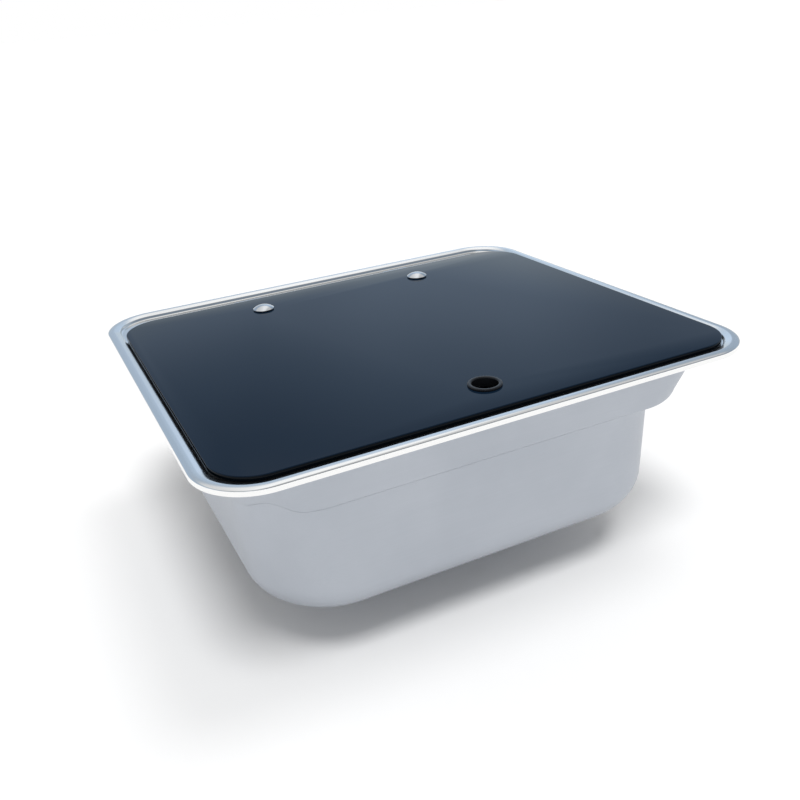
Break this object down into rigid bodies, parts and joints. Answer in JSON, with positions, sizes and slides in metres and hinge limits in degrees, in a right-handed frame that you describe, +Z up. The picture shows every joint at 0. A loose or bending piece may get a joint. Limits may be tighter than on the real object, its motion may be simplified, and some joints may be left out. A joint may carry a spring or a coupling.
{
  "type": "camper sink with glass lid",
  "caption": "Drop-in camper sink pressed from thin stainless steel, with a raised bead round its rim, a tap shelf, a waste with plug, and a hinged smoked glass lid with a finger hole.",
  "frame": {"origin": "centre of the rim's rectangular outline, in the plane of the worktop that the rim's underside lies on", "axes": "+X towards the end with the tap shelf, +Y towards the lid's hinges, +Z up out of the worktop"},
  "size_m": [0.42, 0.37, 0.1862],
  "materials": {
    "pressed_steel": "satin pressed stainless sheet, bluish grey",
    "smoked_glass": "polished dark smoked toughened glass",
    "polished_steel": "polished stainless",
    "brushed_steel": "brushed stainless",
    "black_plastic": "black moulded plastic, slightly glossy",
    "black_rubber": "matt black rubber",
    "foam_seal": "dark grey closed-cell foam",
    "fibre_pad": "thin dark fibre"
  },
  "bodies": {
    "sink": {"sink_pressing": "pressed_steel", "rim_seal": "foam_seal", "lid_seal": "black_rubber", "lid_seal_back": "black_rubber", "waste_gasket_upper": "black_rubber", "waste_gasket_lower": "black_rubber", "waste_cup": "black_plastic", "hinge_pin_left": "polished_steel", "hinge_pin_right": "polished_steel", "waste_strainer": "polished_steel", "hinge_base_left": "brushed_steel", "hinge_base_right": "brushed_steel", "base_rivet_left_inner": "brushed_steel", "base_rivet_left_outer": "brushed_steel", "base_rivet_right_inner": "brushed_steel", "base_rivet_right_outer": "brushed_steel", "waste_screw": "brushed_steel"},
    "lid": {"glass_lid": "smoked_glass", "finger_collar": "black_plastic", "finger_nut": "black_plastic", "hinge_cap_left": "polished_steel", "hinge_cap_right": "polished_steel", "glass_bush_left": "black_plastic", "glass_bush_right": "black_plastic", "leaf_pad_left": "fibre_pad", "leaf_pad_right": "fibre_pad", "hinge_leaf_left": "brushed_steel", "hinge_leaf_right": "brushed_steel", "clamp_nut_left": "brushed_steel", "clamp_nut_right": "brushed_steel"},
    "plug": {"plug_disc": "black_rubber", "plug_knob": "polished_steel"}
  },
  "joints": [
    {"name": "lid_hinge", "type": "hinge", "parent": "sink", "child": "lid", "pos_m": [0, 0.1541, 0.0033], "axis": [-1, 0, 0], "range_deg": [0, 100]},
    {"name": "plug_lift", "type": "slide", "parent": "sink", "child": "plug", "axis": [0, 0, 1], "range_m": [0, 0.1]}
  ]
}
